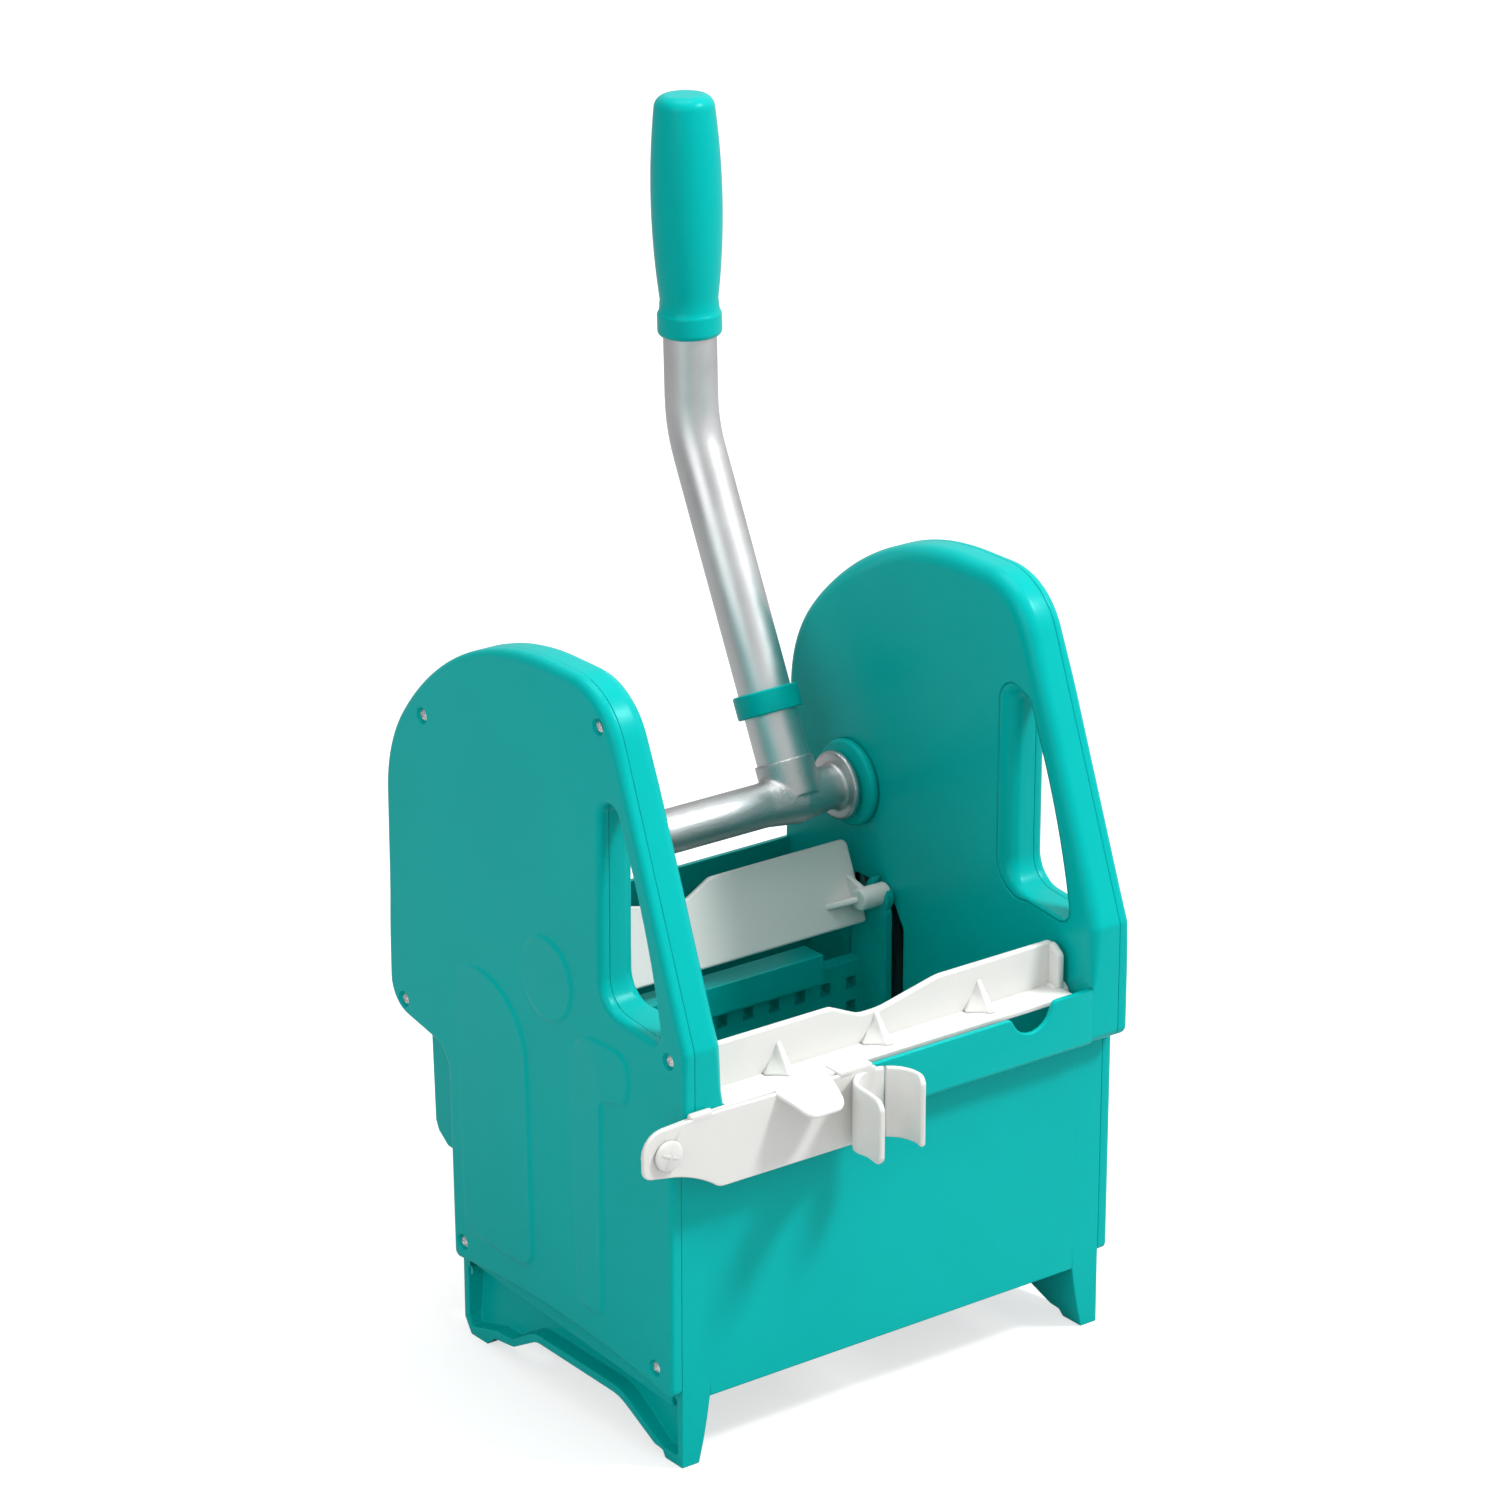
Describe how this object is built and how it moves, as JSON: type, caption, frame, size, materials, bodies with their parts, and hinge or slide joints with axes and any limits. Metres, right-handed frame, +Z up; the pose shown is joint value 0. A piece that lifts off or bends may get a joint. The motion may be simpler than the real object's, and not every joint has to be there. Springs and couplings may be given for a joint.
{
  "type": "mop wringer",
  "caption": "Lever press mop wringer with a perforated press plate, tilting white jaws, side carrying windows and a clip for the mop handle.",
  "frame": {"origin": "bottom centre of the bounding box, on the floor plane under the feet", "axes": "+Z up, +X to the wringer's right as seen from the front, +Y from the front panel to the lever side"},
  "size_m": [0.3064, 0.3453, 0.6013],
  "materials": {
    "teal": "satin moulded polypropylene",
    "white": "satin moulded acetal",
    "tube_aluminium": "satin drawn tube",
    "cast_aluminium": "rough casting",
    "drive_steel": "zinc plated",
    "screw_steel": "bright"
  },
  "bodies": {
    "frame": {"cover_left": "teal", "cover_right": "teal", "cheek_left": "teal", "cheek_right": "teal", "front_panel": "teal", "rear_panel": "teal", "drain_floor": "teal", "cover_screws": "screw_steel", "bushing_left": "teal", "bushing_right": "teal", "return_spring_left": "drive_steel", "return_spring_right": "drive_steel", "holder_rail": "white", "holder_pin": "white"},
    "lever": {"pivot_shaft": "cast_aluminium", "lever_tube": "tube_aluminium", "lever_collar": "teal", "lever_grip": "teal", "crank_left": "drive_steel", "crank_right": "drive_steel"},
    "roller_left": {"cam_roller_left": "white"},
    "roller_right": {"cam_roller_right": "white"},
    "press": {"press_plate": "teal", "push_arm_left": "drive_steel", "push_arm_right": "drive_steel", "guide_shoe_left": "white", "guide_shoe_right": "white", "arm_screws": "screw_steel"},
    "rear_jaw": {"rear_jaw": "white"},
    "front_jaw": {"front_jaw": "white"},
    "holder": {"holder_arm": "white"}
  },
  "joints": [
    {"name": "lever_swing", "type": "hinge", "parent": "frame", "child": "lever", "pos_m": [0.0133, 0.06294, 0.2458], "axis": [-1, 0, 0], "range_deg": [0, 60], "stiffness_Nm_per_rad": 1, "springref_deg": -34.38},
    {"name": "press_slide", "type": "slide", "parent": "frame", "child": "press", "axis": [0, -1, 0], "range_m": [0, 0.10113]},
    {"name": "roller_spin_left", "type": "hinge", "parent": "lever", "child": "roller_left", "pos_m": [-0.1077, 0.04988, 0.12148], "axis": [1, 0, 0], "continuous": true},
    {"name": "roller_spin_right", "type": "hinge", "parent": "lever", "child": "roller_right", "pos_m": [0.1343, 0.04988, 0.12148], "axis": [1, 0, 0], "continuous": true},
    {"name": "rear_jaw_tilt", "type": "hinge", "parent": "press", "child": "rear_jaw", "pos_m": [0.0133, 0.03334, 0.1926], "axis": [1, 0, 0], "range_deg": [-8, 8]},
    {"name": "front_jaw_tilt", "type": "hinge", "parent": "frame", "child": "front_jaw", "pos_m": [0.0133, -0.10996, 0.1859], "axis": [1, 0, 0], "range_deg": [0, 8]},
    {"name": "holder_swing", "type": "hinge", "parent": "frame", "child": "holder", "pos_m": [-0.1392, -0.13536, 0.1806], "axis": [0, -1, 0], "range_deg": [0, 90]}
  ],
  "couplings": [
    {"joint": "press_slide", "follows": "lever_swing", "m_per_rad": 0.096569}
  ]
}
